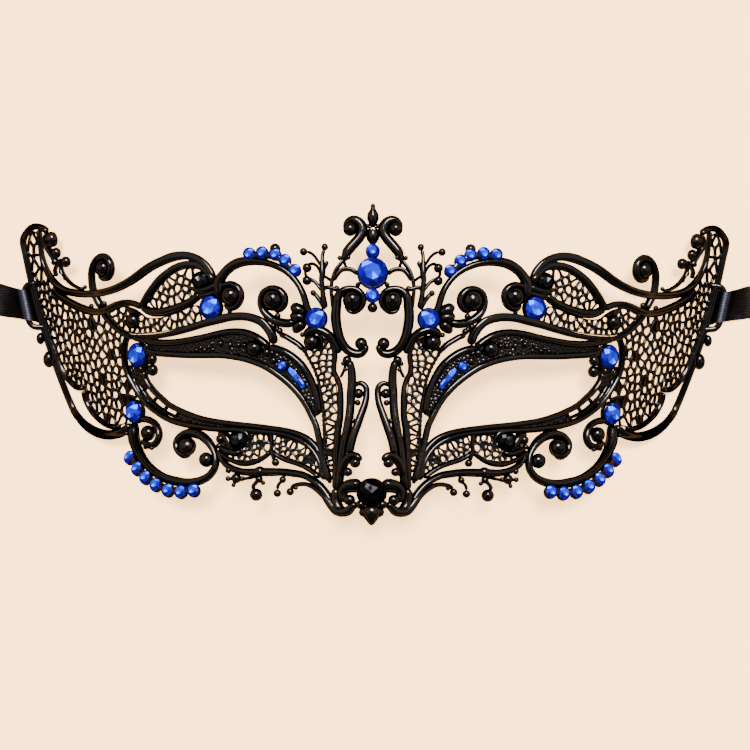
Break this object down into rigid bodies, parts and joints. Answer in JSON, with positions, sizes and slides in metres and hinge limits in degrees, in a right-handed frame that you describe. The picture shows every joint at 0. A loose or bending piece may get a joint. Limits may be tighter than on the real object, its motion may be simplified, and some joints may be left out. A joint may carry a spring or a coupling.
{
  "type": "masquerade mask",
  "caption": "Venetian-style masquerade eye mask in black lacquered metal filigree with crackle nets, scrolls, blue and black rhinestones and black satin ribbons.",
  "frame": {"origin": "bottom centre: on the surface that the mask lies on, under the middle of its bounding box", "axes": "+X across the mask towards the wearer's left side, +Y towards the brow, +Z out of the face; it lies face up on its two side rims"},
  "size_m": [0.2638, 0.0802, 0.061],
  "materials": {
    "black_lacquer": "glossy black lacquer over cast metal",
    "blue_stone": "faceted, foil-backed sapphire blue",
    "black_stone": "faceted jet black",
    "black_satin": "black satin ribbon"
  },
  "bodies": {
    "root": {"filigree_frame": "black_lacquer", "ribbon_left": "black_satin", "ribbon_right": "black_satin", "stone_arc_1_left": "blue_stone", "stone_arc_1_right": "blue_stone", "stone_arc_2_left": "blue_stone", "stone_arc_2_right": "blue_stone", "stone_arc_3_left": "blue_stone", "stone_arc_3_right": "blue_stone", "stone_arc_4_left": "blue_stone", "stone_arc_4_right": "blue_stone", "stone_arc_5_left": "blue_stone", "stone_arc_5_right": "blue_stone", "stone_bridge_left": "blue_stone", "stone_bridge_right": "blue_stone", "stone_brow_left": "blue_stone", "stone_brow_right": "blue_stone", "stone_cheek_left": "blue_stone", "stone_cheek_right": "blue_stone", "stone_crown_jet": "black_stone", "stone_crown_lower": "blue_stone", "stone_crown_middle": "blue_stone", "stone_crown_top": "blue_stone", "stone_drop_jet": "black_stone", "stone_leaf_jet_left": "black_stone", "stone_leaf_jet_right": "black_stone", "stone_loop_1_left": "blue_stone", "stone_loop_1_right": "blue_stone", "stone_loop_2_left": "blue_stone", "stone_loop_2_right": "blue_stone", "stone_loop_3_left": "blue_stone", "stone_loop_3_right": "blue_stone", "stone_loop_4_left": "blue_stone", "stone_loop_4_right": "blue_stone", "stone_loop_5_left": "blue_stone", "stone_loop_5_right": "blue_stone", "stone_loop_6_left": "blue_stone", "stone_loop_6_right": "blue_stone", "stone_loop_7_left": "blue_stone", "stone_loop_7_right": "blue_stone", "stone_pendant_jet": "black_stone", "stone_slant_bar_left": "blue_stone", "stone_slant_bar_right": "blue_stone", "stone_slant_round_left": "blue_stone", "stone_slant_round_right": "blue_stone", "stone_temple_left": "blue_stone", "stone_temple_right": "blue_stone", "stone_under_eye_jet_left": "black_stone", "stone_under_eye_jet_right": "black_stone"}
  },
  "joints": []
}
